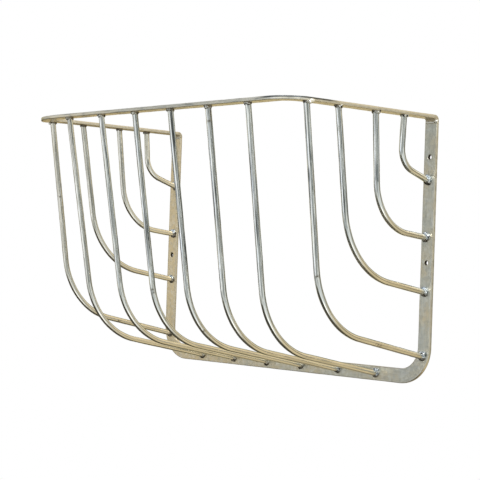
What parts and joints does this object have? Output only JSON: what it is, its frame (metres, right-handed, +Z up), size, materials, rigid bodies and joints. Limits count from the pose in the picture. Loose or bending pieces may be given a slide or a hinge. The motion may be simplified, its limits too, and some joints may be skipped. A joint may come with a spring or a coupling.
{
  "type": "hay rack feeder",
  "caption": "Wall-hung hay rack: a U-shaped flat-bar frame and a level hoop joined by bent round bars that form an open basket for hay.",
  "frame": {"origin": "centre of the four fixing holes, on the plane of the wall", "axes": "+X along the wall to the right as seen from the room, +Y into the wall, +Z up"},
  "size_m": [0.69, 0.346, 0.45],
  "materials": {
    "galvanised_flat": "satin hot-dip zinc with a fine spangle",
    "galvanised_bar": "semi-bright hot-dip zinc, slightly wavy",
    "galvanised_weld": "bright lumpy zinc over weld beads"
  },
  "bodies": {
    "root": {"wall_frame": "galvanised_flat", "top_hoop": "galvanised_flat", "front_bar_1": "galvanised_bar", "front_bar_2": "galvanised_bar", "front_bar_3": "galvanised_bar", "front_bar_4": "galvanised_bar", "front_bar_5": "galvanised_bar", "front_bar_6": "galvanised_bar", "left_bar_1": "galvanised_bar", "left_bar_2": "galvanised_bar", "left_bar_3": "galvanised_bar", "left_bar_4": "galvanised_bar", "right_bar_1": "galvanised_bar", "right_bar_2": "galvanised_bar", "right_bar_3": "galvanised_bar", "right_bar_4": "galvanised_bar", "left_rail_welds": "galvanised_weld", "right_rail_welds": "galvanised_weld", "left_upright_welds": "galvanised_weld", "right_upright_welds": "galvanised_weld", "left_front_welds": "galvanised_weld", "right_front_welds": "galvanised_weld", "left_arm_welds": "galvanised_weld", "right_arm_welds": "galvanised_weld", "left_seam_weld": "galvanised_weld", "right_seam_weld": "galvanised_weld"}
  },
  "joints": []
}
